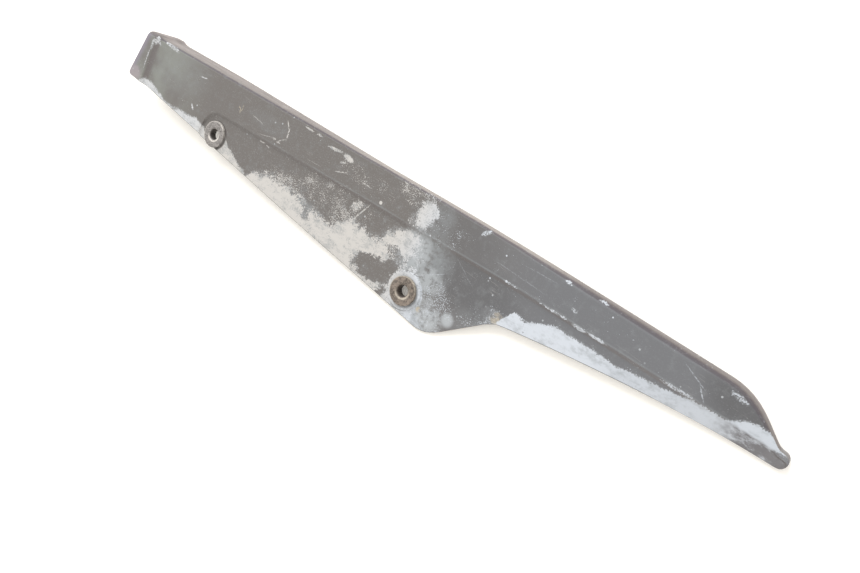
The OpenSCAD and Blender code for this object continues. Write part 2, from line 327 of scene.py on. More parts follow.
front_steel = bpy.data.materials.new("scratched_steel")
rear_steel = bpy.data.materials.new("rusted_steel")
front_collar = spin_collar("front_collar_turned", (FRONT_U, FRONT_V, FRONT_SEAT), 3.0, front_steel)
rear_collar = spin_collar("rear_collar_turned", (0, 0, REAR_SEAT), 8.0, rear_steel)
for piece, solid in [(front_collar, "front_collar"), (rear_collar, "rear_collar")]:
    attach(piece, BODY)
    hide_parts(solid)
    print(piece.name, len(piece.data.polygons), "faces")

# %% [markdown]
# ## Words for the materials
# Every finish below is built from the same few steps: a place on the face in millimetres, a
# soft step between two values, a mix of two colours and a noise of a known size. Written as
# short functions they keep the materials readable.

# %% Helpers for shader nodes


def tone(red, green, blue):
    """A colour as it looks on screen, 0 to 255, turned into the linear values of a shader."""
    shares = [c / 255 for c in (red, green, blue)]
    linear = [c / 12.92 if c < 0.04045 else ((c + 0.055) / 1.055) ** 2.4 for c in shares]
    return (*linear, 1.0)


def fade(tree, value, start, end):
    """0 at start and 1 at end, with a smooth step between, whichever of them is larger."""
    inputs = {"Value": value, "From Min": start, "From Max": end}
    return node(tree, "ShaderNodeMapRange", inputs, interpolation_type="SMOOTHSTEP").outputs[0]


def blend(tree, share, first, second):
    """A mix of two colours."""
    inputs = {0: share, 6: first, 7: second}
    return node(tree, "ShaderNodeMix", inputs, data_type="RGBA").outputs[2]


def noise(tree, place, size, detail=4.0, rough=0.55, stretch=(1, 1, 1), seed=0.0):
    """Noise whose lumps measure about size millimetres, longer where stretch is larger."""
    scaled = node(tree, "ShaderNodeMapping", {"Vector": place, "Location": (seed, seed, seed),
                                             "Scale": [1 / (size * s) for s in stretch]})
    made = node(tree, "ShaderNodeTexNoise", {"Vector": scaled.outputs[0], "Scale": 1.0,
                                            "Detail": detail, "Roughness": rough})
    return made.outputs[0]


def group(name, inputs, outputs):
    """An empty shader node group with float or vector sockets, and its two end nodes."""
    tree = bpy.data.node_groups.new(name, "ShaderNodeTree")
    for way, sockets in (("INPUT", inputs), ("OUTPUT", outputs)):
        for socket, kind in sockets:
            tree.interface.new_socket(socket, in_out=way, socket_type="NodeSocket" + kind)
    return tree, tree.nodes.new("NodeGroupInput").outputs, tree.nodes.new("NodeGroupOutput").inputs


print("the helpers for materials are ready")

# %% [markdown]
# ## The place on the face
# All three finishes need to know where they are on the guard, so this is a node group. It
# turns Object coordinates back by the guard's lean and into millimetres. Because the pieces
# stand at the origin, the pattern stays on the guard wherever the guard is taken.

# %% The group that gives a place in millimetres
place_group, _, place_out = group("place on the face", [], [("Place", "Vector")])
coordinates = place_group.nodes.new("ShaderNodeTexCoord").outputs["Object"]
unleaned = node(place_group, "ShaderNodeMapping", {
    "Vector": coordinates, "Location": face_zero, "Rotation": (LEAN_X, LEAN_Y, 0),
    "Scale": (MM, MM, MM)}, vector_type="TEXTURE")
place_group.links.new(unleaned.outputs[0], place_out["Place"])


def face_place(tree):
    """The place on the face as a vector, and its three parts."""
    place = node(tree, "ShaderNodeGroup", node_tree=place_group).outputs["Place"]
    return [place, *node(tree, "ShaderNodeSeparateXYZ", {0: place}).outputs]


print("millimetres on the face come from", place_group.name)

# %% [markdown]
# ## How paint flakes
# Paint doesn't fade out where it wears: it lets go in flakes, and near the border small specks
# come off or hang on. One way to get this is to take one half off a soft field, add noise of
# two sizes and cut the sum at zero. Where the field is one the surface is bare, where it is zero
# the paint is whole, and in between the flakes decide. The steel uses the same group for its
# rust.

# %% The group that breaks a soft field into flakes
flake_group, flake_in, flake_out = group(
    "flakes", [("Place", "Vector"), ("Field", "Float"), ("Flake size", "Float"),
               ("Flakes", "Float"), ("Specks", "Float")], [("Bare", "Float")])


def sized_noise(tree, place, size, detail, rough):
    """Noise about zero, whose size comes from a socket."""
    scale = maths(tree, "DIVIDE", 1.0, size)
    made = node(tree, "ShaderNodeTexNoise", {"Vector": place, "Scale": scale, "Detail": detail,
                                            "Roughness": rough})
    return maths(tree, "SUBTRACT", made.outputs[0], 0.5)


SPECK_SHARE = 0.11           # a speck's size as a share of a flake's
STRETCH = 1.5                # takes a full field past the reach of the noise
CUT = 0.12                   # half the width of the border between paint and bare plastic
large = sized_noise(flake_group, flake_in["Place"], flake_in["Flake size"], 7.0, 0.7)
speck_size = times(flake_group, flake_in["Flake size"], SPECK_SHARE)
small = sized_noise(flake_group, flake_in["Place"], speck_size, 2.0, 0.6)
total = times(flake_group, maths(flake_group, "SUBTRACT", flake_in["Field"], 0.5), STRETCH)
total = maths(flake_group, "ADD", total, times(flake_group, large, flake_in["Flakes"]))
total = maths(flake_group, "ADD", total, times(flake_group, small, flake_in["Specks"]))
flake_group.links.new(fade(flake_group, total, -CUT, CUT), flake_out["Bare"])


def flakes(tree, place, field, size=8.0, amount=2.2, specks=2.2):
    """A mask that is 1 where the flakes have gone; size is in millimetres."""
    inputs = {"Place": place, "Field": field, "Flake size": size, "Flakes": amount,
              "Specks": specks}
    return node(tree, "ShaderNodeGroup", inputs, node_tree=flake_group).outputs["Bare"]


print("flakes break within", CUT, "of one half of the field")

# %% [markdown]
# ## Scratches
# Years of grit leave fine lines that run mostly along the guard. Noise that is stretched far in
# one direction and cut close to its top gives such lines, and a broader noise keeps them from
# covering everything evenly. The collars use it too, for the marks of the screw's head.

# %% The group that draws fine scratches
scratch_group, scratch_in, scratch_out = group(
    "scratches", [("Place", "Vector"), ("Turn", "Float"), ("Width", "Float"), ("Amount", "Float")],
    [("Scratched", "Float")])
SCRATCH_LONG = 90.0          # a scratch's length in widths
SCRATCH_PATCH = 9.0          # mm, size of the patches that are scratched more or less
turned_place = node(scratch_group, "ShaderNodeVectorRotate",
                    {"Vector": scratch_in["Place"], "Angle": scratch_in["Turn"]},
                    rotation_type="Z_AXIS").outputs[0]
in_widths = maths(scratch_group, "DIVIDE", 1.0, scratch_in["Width"])
by_width = node(scratch_group, "ShaderNodeVectorMath", {0: turned_place, "Scale": in_widths},
                operation="SCALE").outputs[0]
lines = noise(scratch_group, by_width, 1.0, 2.0, 0.5, (SCRATCH_LONG, 1, SCRATCH_LONG))
where = noise(scratch_group, scratch_in["Place"], SCRATCH_PATCH, 2.0, 0.5, seed=4.0)
limit = maths(scratch_group, "SUBTRACT", 1.05, times(scratch_group, scratch_in["Amount"], where))
drawn = fade(scratch_group, maths(scratch_group, "SUBTRACT", lines, limit), -0.02, 0.06)
scratch_group.links.new(drawn, scratch_out["Scratched"])


def scratches(tree, place, turn, width, amount):
    """A mask of fine lines; turn is in degrees and width in millimetres."""
    inputs = {"Place": place, "Turn": math.radians(turn), "Width": width, "Amount": amount}
    return node(tree, "ShaderNodeGroup", inputs, node_tree=scratch_group).outputs["Scratched"]


print("scratches are", SCRATCH_LONG, "times as long as wide")

# %% [markdown]
# ## Where the paint is gone
# The wear of one real guard has no formula, so its main borders are given as a few places each:
# how far up the face, at a distance along it, the bare plastic reaches. There are three such
# borders: a thin strip from the lip to just past the front collar, the wide zone between the
# two collars, and the long strip under the tail. A curve node joins the places, and noise does
# the rest. A border that ends on the guard drops below its edge there, because beyond its last
# place a curve keeps its height.

# %% The three worn borders
U_RANGE = (-290.0, 230.0)    # mm, the face from the lip to the tip
V_RANGE = (-30.0, 60.0)      # mm, from below the lobe to the flange

FRONT_STRIP = [(-272, 14), (-266, 17), (-262, 21.5), (-253, 20.5), (-245, 17.8), (-238, 15.2),
               (-230, 14.4), (-223, 15.4), (-209, 16.2), (-203, 17), (-196, 15.6), (-190, 9),
               (-176, 4), (-175, 20), (-172, 15.5), (-168, 12), (-162, 10), (-154, 6.4), (-146, 4),
               (-142, -30)]
MIDDLE_ZONE = [(-150, -10), (-143, 4.5), (-135, 10.2), (-127, 12.2), (-108, 12.6), (-94, 12.6),
               (-86, 9), (-76, 7.4), (-64, 9), (-58, 15.5), (-53, 19.5), (-46, 17.6), (-36, 20.5),
               (-28, 24.5), (-21, 29.5), (-15, 33), (-7, 34), (-2, 31), (3, 18), (9, 0),
               (17, -4.5), (26, -5.5), (33, -8), (37, -14), (40, -30)]
TAIL_STRIP = [(54, -30), (58, 10), (61, 17), (64, 22), (67.5, 26.2), (76, 25.7), (86, 30.5),
              (95, 32.8), (116, 32.8), (129, 32.2), (142, 34.5), (160, 36.6), (166, 38.4),
              (171, 39.8), (188, 40.3), (196, 45.5), (203, 47.2), (211, 46), (226, 46)]


def height_along(tree, u, places):
    """The height up the face that a border has at u, from a few places."""
    reach_u = U_RANGE[1] - U_RANGE[0]
    reach_v = V_RANGE[1] - V_RANGE[0]
    share = node(tree, "ShaderNodeMapRange",
                 {"Value": u, "From Min": U_RANGE[0], "From Max": U_RANGE[1]})
    curve = node(tree, "ShaderNodeFloatCurve", {"Value": share.outputs[0]})
    points = curve.mapping.curves[0].points
    first, last = places[0], places[-1]
    points[0].location = (0, (first[1] - V_RANGE[0]) / reach_v)
    points[1].location = (1, (last[1] - V_RANGE[0]) / reach_v)
    for along, height in places:
        points.new((along - U_RANGE[0]) / reach_u, (height - V_RANGE[0]) / reach_v)
    for point in points:
        point.handle_type = "VECTOR"
    curve.mapping.update()
    back = {"Value": curve.outputs[0], "To Min": V_RANGE[0], "To Max": V_RANGE[1]}
    return node(tree, "ShaderNodeMapRange", back).outputs[0]


def under_border(tree, u, v, places, soft):
    """1 well under the border, 0 well above it, and soft millimetres to each side between."""
    over = maths(tree, "SUBTRACT", v, height_along(tree, u, places))
    return fade(tree, over, soft, -soft)


print("border places:", len(FRONT_STRIP) + len(MIDDLE_ZONE) + len(TAIL_STRIP))

# %% [markdown]
# ## Patches
# What the borders leave out are patches: where the paint is gone higher up the face, and where
# it has stayed inside the bare zone. Each is an ellipse with a place, a half length, a half
# width, a turn and a strength. A strength under one half leaves only scattered flakes.

# %% Patches of wear and of kept paint
WORN_PATCHES = [
    (-54, 28, 6, 2.6, 30, 0.46),        # scratched spot above the middle zone
    (-7.5, 46, 6.2, 8, -10, 0.78),      # pale blob on the upper panel
    (-14, 40, 4, 4, 0, 0.4),
    (-261.5, 49, 3.4, 2.2, -20, 0.55)]  # corner behind the lip
SCATTERED = [
    (-75, 24, 30, 8, 6, 0.3), (-93, 24, 8, 6, 0, 0.38), (-112, 16, 16, 4, 0, 0.4),
    (-62, 18, 12, 6, 10, 0.4), (-64, 46, 14, 5, -10, 0.26), (-20, 53.5, 13, 5, -8, 0.36),
    (-8, 56, 6, 3, -8, 0.42), (-40, 47, 14, 4, 0, 0.2), (12, 44, 12, 8, 0, 0.2),
    (22, 4, 11, 10, 0, 0.36), (52, 6, 12, 8, 0, 0.24), (60, 14, 8, 7, 20, 0.36)]
THIN_PATCHES = [
    (-85, 51.2, 6, 0.9, 6, 0.62),
    (-73.5, 50.8, 4.0, 1.8, -8, 0.58),
    (-76, 46.5, 2.4, 0.7, 20, 0.5),
    (-109.5, 53.4, 3.4, 0.5, 0, 0.6),
    (-100, 53.6, 2.4, 0.7, 0, 0.6),
    (-264.2, 45.5, 1.0, 4, 0, 0.52),
    (-264.8, 36, 0.6, 7, 0, 0.47),
    (-248, 51.5, 8, 1.6, -8, 0.46),
    (-210, 22.8, 2.3, 0.7, -45, 0.6),
    (86.5, 57.4, 2.4, 1.0, 0, 0.54),
    (96.5, 46, 2.0, 1.0, -10, 0.5),
    (31.5, 56.6, 3.4, 1.3, 40, 0.5),
    (188, 53.4, 4.6, 1.5, -8, 0.43),
    (108, 58, 3.0, 0.7, 0, 0.5),
    (87, 39.5, 9, 0.7, 0, 0.5),        # chips along the ridge of the tail
    (103, 39.2, 4, 1.2, 0, 0.58),
    (114, 39.6, 6, 0.9, 0, 0.56),
    (58, 39.4, 5, 0.6, 0, 0.5),
    (162, 40.0, 9, 1.1, 2, 0.52),
    # The last one is a painted highlight along the ridge by the tip, drawn as bare plastic.
    (203, 40.4, 15, 0.5, 0, 0.9)]
# Single scratches, given as the ovals are, and white dots with their radius
MARKS = [
    (-126, 48.2, 2.6, 0.4, -53, 1.0), (-123.6, 42.8, 3.4, 0.45, -86, 1.0),
    (-126.7, 37.2, 3.0, 0.3, 38, 0.7), (-74.5, 40.8, 4.2, 0.35, 20, 0.9),
    (-53.5, 42.7, 3.6, 0.3, 1, 0.9), (-142.2, 28.8, 2.2, 0.35, 6, 0.9),
    (-136.4, 28.2, 1.4, 0.35, -8, 0.9), (-132.6, 35.5, 1.0, 0.5, 20, 1.0),
    (-128.4, 34.7, 1.3, 0.45, 0, 1.0), (-151, 40.4, 5.4, 0.22, -8, 0.6),
    (-139, 34.4, 6.5, 0.2, 14, 0.55), (-208.8, 44.8, 2.8, 0.3, 8, 0.9),
    (-49.7, 26.5, 6.2, 0.4, 62, 1.0), (-54, 27.5, 3.2, 0.3, 100, 0.7),
    (172.5, 45, 3.6, 0.25, -48, 0.7), (166, 50.5, 7, 0.22, -24, 0.5), (60, 45.5, 16, 0.2, -2, 0.2),
    (72, 53.2, 8, 0.2, 3, 0.25), (-96, 36.5, 5, 0.2, 3, 0.4), (30, 30, 8, 0.2, -30, 0.2),
    (10, 17, 9, 0.25, 32, 0.6)]
SPOTS = [(-39.3, 38.2, 1.1), (0.4, 37.7, 0.5), (-12.5, 37.4, 0.45), (48.2, 51.8, 0.5),
         (55, 39.6, 0.55), (45, 35.5, 0.5), (116, 54, 0.45), (-206, 25.5, 0.55)]
KEPT_PATCHES = [
    (-26.5, 0.5, 14.5, 7.4, 8, 1.0),   # dark island left of the rear collar
    (-15, 7.5, 4.5, 4.5, 0, 0.9),
    (-15.5, -9.5, 3, 4.5, 0, 0.85),
    (-16.5, 16, 8, 4.2, -14, 0.62),
    (-4, 17.5, 3.2, 2.2, 0, 0.7),
    (-35, 20.5, 6, 4.5, 0, 0.6),
    (-88, 4.5, 3.4, 5, 10, 0.62),
    (-97, 9.5, 9, 1.6, -8, 0.5),
    (-224, 13, 7, 2.4, 0, 0.34),
    (-247, 16, 5, 1.6, -10, 0.4),
    (17.5, 6.5, 8, 6.2, -12, 0.72),    # mottled patch right of it
    (218, 36.5, 7, 4.2, 0, 0.66)]
# Bare again: under the dark island, along the lobe's lower edge and round the rear collar
PALE_AGAIN = [(-21, -7.6, 5, 2.0, 5, 0.75), (-38.5, -5, 3, 1.4, 0, 0.6),
              (6, -12.5, 13, 4.5, 6, 0.74)]
PALE_RING = (0.4, -0.4, 12.6, 12.6, 0, 0.85)
print(len(WORN_PATCHES) + len(THIN_PATCHES), "worn patches and", len(KEPT_PATCHES), "kept ones")

# %% [markdown]
# ## Drawing an oval
# Two dot products tell how far a place is from an oval's middle, once along its length and once
# along its width, as shares of its halves. The squares of both add up to one on the rim. That
# takes only a few nodes, which matters in a material with dozens of ovals.

# %% The functions that draw ovals


def along(tree, vector, direction):
    """How far a vector reaches in a direction."""
    return node(tree, "ShaderNodeVectorMath", {0: vector, 1: direction},
                operation="DOT_PRODUCT").outputs["Value"]


def oval(tree, place, u, v, half_long, half_wide, turn, strength, soft):
    """Strength inside an ellipse and 0 outside it, with a soft rim."""
    c, s = math.cos(math.radians(turn)), math.sin(math.radians(turn))
    away = node(tree, "ShaderNodeVectorMath", {0: place, 1: (u, v, 0)},
                operation="SUBTRACT").outputs[0]
    lengthwise = along(tree, away, (c / half_long, s / half_long, 0))
    sideways = along(tree, away, (-s / half_wide, c / half_wide, 0))
    square = maths(tree, "ADD", times(tree, lengthwise, lengthwise),
                   times(tree, sideways, sideways))
    return times(tree, fade(tree, square, (1 + soft) ** 2, (1 - soft) ** 2), strength)


def ovals(tree, place, patches, soft):
    """The strongest of several ovals at each place."""
    total = None
    for patch in patches:
        one = oval(tree, place, *patch, soft)
        total = one if total is None else maths(tree, "MAXIMUM", total, one)
    return total


print("ovals can be drawn")

# %% [markdown]
# ## The painted shell
# The real guard is plastic under a coat of warm grey paint. Where the paint is gone the plastic
# shows, weathered pale and in places slightly blue. Three things make it look right from close
# up: the paint's own unevenness, the step in height where it ends, and the rubbed zones where it
# is thin but not gone.
#
# Its directions come first. The wear belongs to the outer face, the dust to the flange, and
# both are told apart by where the surface faces. Places that noise has pushed to and fro are
# needed too: an oval that is drawn at a torn place gets a torn outline.

# %% Directions and torn places
paint = bpy.data.materials.new("worn_grey_paint")
paint.use_nodes = True
tree = paint.node_tree
surface = tree.nodes["Principled BSDF"]
place, u, v, w = face_place(tree)
facing = tree.nodes.new("ShaderNodeNewGeometry").outputs["Normal"]


def faces(direction, start, end):
    """1 where the surface faces a direction, from the cosines start to end."""
    return fade(tree, along(tree, facing, direction), start, end)


def ragged(place, size, reach):
    """The place, pushed to and fro by noise, so that what is drawn there gets a ragged outline."""
    made = node(tree, "ShaderNodeTexNoise", {"Vector": place, "Scale": 1 / size, "Detail": 5.0,
                                            "Roughness": 0.65})
    centred = node(tree, "ShaderNodeVectorMath", {0: made.outputs["Color"], 1: (0.5, 0.5, 0.5)},
                   operation="SUBTRACT").outputs[0]
    push = node(tree, "ShaderNodeVectorMath", {0: centred, "Scale": reach},
                operation="SCALE").outputs[0]
    return node(tree, "ShaderNodeVectorMath", {0: place, 1: push}, operation="ADD").outputs[0]


outer = faces(w_axis, 0.15, 0.5)
flange = faces(v_axis, 0.35, 0.8)
torn = ragged(place, 6.0, 11.0)
frayed = ragged(place, 1.5, 1.5)
torn_u, torn_v, _ = node(tree, "ShaderNodeSeparateXYZ", {0: torn}).outputs
frayed_u, frayed_v, _ = node(tree, "ShaderNodeSeparateXYZ", {0: frayed}).outputs
print("noise pushes torn outlines by a few millimetres and frayed ones by less than one")

# %% [markdown]
# ## Masks of the shell
# The three borders and the patches make one soft field, less the kept patches, and the flakes
# break it. A second, thinner field breaks into finer flakes round the middle zone. Single
# scratches and white dots come last. One mask, bare, holds all of it: it picks the colour, the
# gloss and the height.

# %% Join the wear into one mask
front_field = under_border(tree, frayed_u, frayed_v, FRONT_STRIP, 2.6)
middle_field = under_border(tree, torn_u, torn_v, MIDDLE_ZONE, 6.5)
thinning = maths(tree, "ADD", 0.42, times(tree, fade(tree, u, 5, -22), 0.58))
middle_field = times(tree, middle_field, thinning)
tail_field = under_border(tree, frayed_u, frayed_v, TAIL_STRIP, 2.0)
kept = ovals(tree, torn, KEPT_PATCHES, 0.5)
zones = maths(tree, "MAXIMUM", maths(tree, "MAXIMUM", front_field, middle_field), tail_field)
zones = maths(tree, "MAXIMUM", zones, ovals(tree, torn, WORN_PATCHES, 0.5))
zones = maths(tree, "MAXIMUM", zones, ovals(tree, frayed, THIN_PATCHES, 0.5))
field = times(tree, zones, maths(tree, "SUBTRACT", 1.0, kept))
field = maths(tree, "MAXIMUM", field, ovals(tree, torn, PALE_AGAIN, 0.5))
field = maths(tree, "MAXIMUM", field, oval(tree, frayed, *PALE_RING, 0.16))
broken = flakes(tree, place, times(tree, field, outer))
thin_field = times(tree, ovals(tree, torn, SCATTERED, 0.6), outer)
scattered = flakes(tree, place, thin_field, size=6.5, amount=1.9, specks=3.0)
broken = maths(tree, "MAXIMUM", broken, times(tree, scattered, 0.85))

dots = ovals(tree, place, [(a, b, r, r, 0, 1.0) for a, b, r in SPOTS], 0.15)
marks = ovals(tree, frayed, MARKS, 0.5)
marks = times(tree, marks, fade(tree, noise(tree, place, 1.4, 3.0), 0.36, 0.52))
marks = maths(tree, "MAXIMUM", marks, dots)
bare = maths(tree, "MAXIMUM", broken, times(tree, marks, outer))
print("the shell's masks use", len(tree.nodes), "nodes")

# %% [markdown]
# ## The paint's colours, with painted sheen and shade
# The paint is lighter and greener by the lip and bluer at the tail, so three paint colours run
# into each other along the guard. Darker clouds lie on it, to the right of the rear collar and
# by the tip. On the flange it is dusty and a little pink, in smears along the guard, and a pale
# sheen is painted on it where it is widest in the picture, for the light it reflects there. The
# rounded corner between them is darkened with painted shade.

# %% Colour the paint, with painted sheen and shade
PAINT = tone(100, 96, 93)
PAINT_FRONT = tone(122, 124, 118)
PAINT_TAIL = tone(100, 101, 104)
PAINT_DEEP = tone(84, 84, 86)
PAINT_FLANGE = tone(92, 84, 82)
DUST = tone(113, 104, 102)
RUBBED = tone(128, 132, 134)
PAINTED_FLANGE_SHEEN = tone(127, 119, 115)
PAINTED_CORNER_SHADE = tone(78, 73, 78)
DEEP_CLOUDS = [(38, 24, 26, 14, 0, 0.7), (16, 48, 24, 11, 0, 0.42), (196, 48, 22, 12, -20, 1.0),
               (218, 37, 9, 6, 0, 0.8)]

patchy = noise(tree, place, 34.0, 3.0, 0.6)
greener = times(tree, fade(tree, u, -190, -262), fade(tree, patchy, 0.3, 0.6))
paint_colour = blend(tree, greener, PAINT, PAINT_FRONT)
paint_colour = blend(tree, fade(tree, u, -15, 90), paint_colour, PAINT_TAIL)
paint_colour = blend(tree, ovals(tree, place, DEEP_CLOUDS, 0.6), paint_colour, PAINT_DEEP)
paint_colour = blend(tree, flange, paint_colour, PAINT_FLANGE)
smears = noise(tree, place, 4.0, 4.0, 0.6, (6, 1, 1), seed=6.0)
dusty = times(tree, fade(tree, w, -2.5, -9), fade(tree, smears, 0.3, 0.6))
paint_colour = blend(tree, times(tree, flange, dusty), paint_colour, DUST)
# A pale sheen is painted in smears on the flange's middle, for the light it reflects there.
flange_sheen = times(tree, fade(tree, u, -110, -50), fade(tree, u, 105, 60))
flange_sheen = times(tree, flange_sheen, fade(tree, smears, 0.15, 0.4))
paint_colour = blend(tree, times(tree, flange, flange_sheen), paint_colour, PAINTED_FLANGE_SHEEN)
# Painted shade darkens the rounded corner between face and flange, and hides its highlight.
rounding = times(tree, faces(w_axis, 0.96, 0.85), faces(w_axis, 0.3, 0.6))
rounding = times(tree, rounding, faces(v_axis, 0.1, 0.3))
paint_colour = blend(tree, times(tree, rounding, 0.75), paint_colour, PAINTED_CORNER_SHADE)
cloudy = noise(tree, place, 5.0, 5.0, 0.6, seed=7.0)
paint_colour = blend(tree, times(tree, fade(tree, cloudy, 0.5, 0.75), 0.25), paint_colour, RUBBED)
print("the shell's paint colours use", len(tree.nodes), "nodes")

# %% [markdown]
# ## Lip and step
# The lip is the only part that stands well above the face, so its height finds it: the hollow
# at its foot is darkened with painted shade, its rim is dull violet and its lower corner is
# pinkish where hands and stones have met it. The step shows as a thin pale line along its upper
# edge, a painted highlight on rubbed paint, and a slope under it darkened with painted shade.
# Both fade out towards the front collar, where the step has hardly any edge.

# %% Colour the lip and the step
PAINTED_SHADE = tone(99, 93, 92)
PAINT_RIM = tone(122, 116, 126)
PINKISH = tone(142, 134, 137)
LIP_TOP = 2.2                # mm above the face; only the lip stands higher
STEP_EDGE = [(-197.5, 15), (-196, 21), (-192, 26), (-187, 29), (-182, 30.1), (60, 39.9),
             (221, 41.6)]

lip = fade(tree, w, LIP_TOP - 0.5, LIP_TOP + 0.2)
# Painted shade in the hollow at the lip's foot.
foot_shade = times(tree, fade(tree, w, 0.02, 0.6), maths(tree, "SUBTRACT", 1.0, lip))
to_edge = maths(tree, "ADD", u, times(tree, maths(tree, "SUBTRACT", 52.0, v), 0.2))
paint_colour = blend(tree, times(tree, foot_shade, 0.85), paint_colour, PAINTED_SHADE)
rim = times(tree, lip, fade(tree, to_edge, -265, -271))
paint_colour = blend(tree, rim, paint_colour, PAINT_RIM)
lip_corner = oval(tree, torn, -271.5, 20.5, 6, 5, 30, 0.85, 0.5)
paint_colour = blend(tree, times(tree, lip, lip_corner), paint_colour, PINKISH)

step_share = fade(tree, u, -190, -90)
over_step = maths(tree, "ABSOLUTE", maths(tree, "SUBTRACT", v, height_along(tree, u, STEP_EDGE)))
# A pale line along the step's upper edge: a painted highlight on paint rubbed there.
step_highlight_and_wear = times(tree, fade(tree, over_step, 0.9, 0.1), fade(tree, smears, 0.25, 0.6))
step_highlight_and_wear = times(tree, step_highlight_and_wear, times(tree, step_share, 0.35))
paint_colour = blend(tree, step_highlight_and_wear, paint_colour, RUBBED)
# Painted shade on the step's slope, which faces down the face.
under_step_shade = times(tree, faces(-v_axis, 0.1, 0.45), outer)
under_step_shade = times(tree, under_step_shade, times(tree, step_share, 0.55))
paint_colour = blend(tree, under_step_shade, paint_colour, PAINTED_SHADE)
print("the step's edge is followed through", len(STEP_EDGE), "places")

# %% [markdown]
# ## Thin paint, chalk and grit
# Between whole paint and none there is paint that is rubbed thin: a pale, cloudy veil right of
# the rear collar and fainter ones elsewhere. Chalk from the weathered plastic lies near the
# bare zones and low on the lobe, with one soft spot to its right. White grit dots the face: a
# Voronoi texture splits it into cells, and only some of the cells get a dot.

# %% Rub the paint thin
CHALK = tone(164, 168, 171)
BARE = tone(183, 180, 176)
GRIT_SPACING = 6.5           # mm between the cells of grit
RUBBED_ZONES = [(4, 22, 14, 16, 0, 1.0), (3, 47, 7, 10, -8, 0.6), (-90, 6, 12, 6, 0, 0.5),
                (50, 4, 12, 9, 0, 0.3), (-232, 38, 24, 12, 10, 0.25), (-140, 42, 16, 5, 0, 0.2),
                (207, 37, 14, 5, 8, 0.6)]
CHALKY_ZONES = [(14, -10, 14, 5, 8, 0.95), (12, 14, 9, 6, 0, 0.6), (-5, 25, 9, 10, 0, 0.7),
                (23, -5, 8, 5, 0, 0.8), (18, -1, 7, 5, -40, 0.55), (57, 17, 4, 4, 20, 0.3)]
CHALK_SPOT = (33.3, 0, 3.4, 3.4, 0, 0.85)

veil_noise = noise(tree, place, 4.0, 8.0, 0.72, seed=2.0)
veil = times(tree, ovals(tree, place, RUBBED_ZONES, 0.6), fade(tree, veil_noise, 0.28, 0.58))
paint_colour = blend(tree, times(tree, times(tree, veil, outer), 0.8), paint_colour, RUBBED)
chalk = times(tree, ovals(tree, torn, CHALKY_ZONES, 0.6), fade(tree, veil_noise, 0.3, 0.55))
chalk = maths(tree, "MAXIMUM", chalk, oval(tree, place, *CHALK_SPOT, 0.6))
paint_colour = blend(tree, times(tree, chalk, outer), paint_colour, CHALK)
scratched = scratches(tree, place, turn=4.0, width=0.22, amount=0.62)
paint_colour = blend(tree, times(tree, scratched, 0.3), paint_colour, BARE)

fine = noise(tree, place, 0.9, 4.0, 0.7, seed=13.0)
cells = node(tree, "ShaderNodeTexVoronoi", {"Vector": place, "Scale": 1 / GRIT_SPACING}).outputs
chosen = node(tree, "ShaderNodeSeparateColor", {0: cells["Color"]}).outputs[0]
grit = times(tree, fade(tree, cells["Distance"], 0.11, 0.06), fade(tree, chosen, 0.7, 0.85))
gritty = times(tree, fade(tree, u, 30, -20), fade(tree, u, -230, -130))
grainy = fade(tree, fine, 0.52, 0.7)
grainy = times(tree, grainy, maths(tree, "ADD", 0.1, times(tree, gritty, 0.2)))
speckle = maths(tree, "ADD", grainy, times(tree, grit, 0.8))
paint_colour = blend(tree, times(tree, speckle, outer), paint_colour, CHALK)
haze = times(tree, fade(tree, field, 0.1, 0.6), fade(tree, fine, 0.38, 0.62))
paint_colour = blend(tree, times(tree, times(tree, haze, 0.6), outer), paint_colour, CHALK)
print("rubbed and chalky zones:", len(RUBBED_ZONES) + len(CHALKY_ZONES))

# %% [markdown]
# ## The bare plastic
# The plastic under the paint is warm and pale between the collars, and colder in front of them
# and from the rear collar on. It is stained in clouds, fine specks of paint hold on in it, and
# on the lobe it is worn to a blotchy grey.

# %% Colour the bare plastic
BARE_BLUE = tone(186, 191, 198)
BARE_DULL = tone(177, 182, 189)

cold = maths(tree, "ADD", fade(tree, u, -25, 15), times(tree, fade(tree, u, -185, -205), 0.5))
bare_colour = blend(tree, cold, BARE, BARE_BLUE)
bare_colour = blend(tree, fade(tree, u, 112, 140), bare_colour, BARE_DULL)
stain = noise(tree, place, 4.5, 7.0, 0.7, (1.6, 1, 1), seed=11.0)
bare_colour = blend(tree, times(tree, fade(tree, stain, 0.46, 0.7), 0.5), bare_colour, RUBBED)
held_on = times(tree, fade(tree, fine, 0.53, 0.62), fade(tree, stain, 0.4, 0.55))
held_on = times(tree, held_on, fade(tree, u, 70, 20))
bare_colour = blend(tree, times(tree, held_on, 0.75), bare_colour, RUBBED)
lobe = oval(tree, torn, 22, -4, 13, 10, 0, 1.0, 0.5)
lobe = times(tree, lobe, fade(tree, veil_noise, 0.62, 0.4))
bare_colour = blend(tree, times(tree, lobe, 0.75), bare_colour, RUBBED)
colour = blend(tree, bare, paint_colour, bare_colour)
print("bare plastic covers the paint where the mask says so")

# %% [markdown]
# ## Dirt, stains and painted shadow
# Dirt lies over paint and plastic alike. The tail's lower strip gets dirtier towards the tip,
# a painted shadow lies to the lower right of each collar's flange, and the cut lower edge is a
# thin dark line.
# There is a tan stain before the tail strip, a rust spot on the lobe and a small yellow mark
# above the front collar. The hidden side is dark with old chain grease.

# %% Add the dirt and the painted shadows
TAIL_DIRT = tone(103, 102, 105)
GRIME_AND_SHADE = tone(66, 62, 59)
TAN = tone(170, 160, 142)
TAN_SPOTS = [(58.8, 17.8, 3.6, 2.2, 20, 0.7), (13.5, -5, 1.2, 1.4, 0, 0.9),
             (-169.3, 40.5, 2.2, 0.4, -70, 0.9), (-167, 41, 2.0, 0.4, 60, 0.9)]
# Painted shadows: discs a little wider than the flanges, set off to their lower right.
PAINTED_COLLAR_SHADOWS = [(FRONT_U + 0.8, FRONT_V - 0.3, 9.7, 9.7, 0, 0.8), (0.7, -0.3, 9.5, 9.5, 0, 0.5)]

